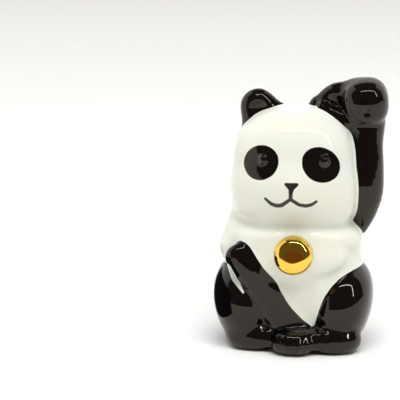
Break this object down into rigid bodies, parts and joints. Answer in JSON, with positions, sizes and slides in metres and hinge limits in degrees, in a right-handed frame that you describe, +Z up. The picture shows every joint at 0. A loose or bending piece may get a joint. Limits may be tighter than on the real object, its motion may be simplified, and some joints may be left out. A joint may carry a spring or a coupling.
{
  "type": "panda figurine",
  "caption": "Seated panda ornament of glazed porcelain, raised paw beside the head, other arm across the belly, gilt bell at the throat.",
  "frame": {"origin": "centre of the flat underside's bounding box, on the surface the figurine stands on", "axes": "+Z up, -Y the way the panda faces, +X its raised paw"},
  "size_m": [0.051, 0.0382, 0.0801],
  "materials": {
    "white_glaze": "clear high-gloss glaze over milk-white porcelain, painted glossy black on ears, arms, legs and face",
    "gilding": "bright burnished gold lustre fired over the glaze of the moulded bell",
    "biscuit": "bare matt porcelain of the unglazed underside"
  },
  "bodies": {
    "root": {"panda_figurine": "white_glaze"}
  },
  "joints": []
}
